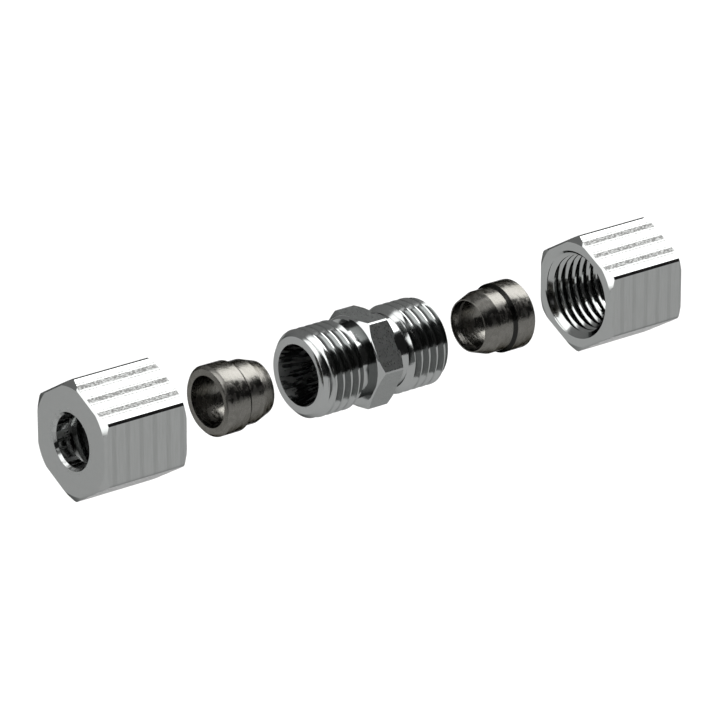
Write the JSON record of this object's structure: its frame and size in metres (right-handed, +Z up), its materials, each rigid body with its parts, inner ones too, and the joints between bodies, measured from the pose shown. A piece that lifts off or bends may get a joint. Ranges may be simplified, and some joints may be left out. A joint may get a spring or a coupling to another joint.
{
  "type": "straight compression fitting",
  "caption": "Straight compression fitting: a turned body with a male thread and cone at each end, a cutting ring and a union nut on each side, drawn apart along the tube's axis.",
  "frame": {"origin": "middle of the body, on the tube's axis", "axes": "+X along the tube's axis, from the left nut to the right nut; +Z up, square to a flat of the body's hexagon; +Y away from the viewer"},
  "size_m": [0.1144, 0.017, 0.0194],
  "materials": {
    "zinc_plated_steel": "bright zinc plating over turned and milled steel",
    "ring_steel": "darker, satin, turned steel"
  },
  "bodies": {
    "fitting_body": {"fitting_body": "zinc_plated_steel"},
    "left_cutting_ring": {"left_cutting_ring": "ring_steel"},
    "left_union_nut": {"left_union_nut": "zinc_plated_steel"},
    "right_cutting_ring": {"right_cutting_ring": "ring_steel"},
    "right_union_nut": {"right_union_nut": "zinc_plated_steel"}
  },
  "joints": [
    {"name": "left_ring_slide", "type": "slide", "parent": "fitting_body", "child": "left_cutting_ring", "axis": [1, 0, 0], "range_m": [0, 0.00998]},
    {"name": "left_nut_slide", "type": "slide", "parent": "left_cutting_ring", "child": "left_union_nut", "axis": [1, 0, 0], "range_m": [0, 0.0219]},
    {"name": "right_ring_slide", "type": "slide", "parent": "fitting_body", "child": "right_cutting_ring", "axis": [-1, 0, 0], "range_m": [0, 0.01123]},
    {"name": "right_nut_slide", "type": "slide", "parent": "right_cutting_ring", "child": "right_union_nut", "axis": [-1, 0, 0], "range_m": [0, 0.0244]}
  ]
}
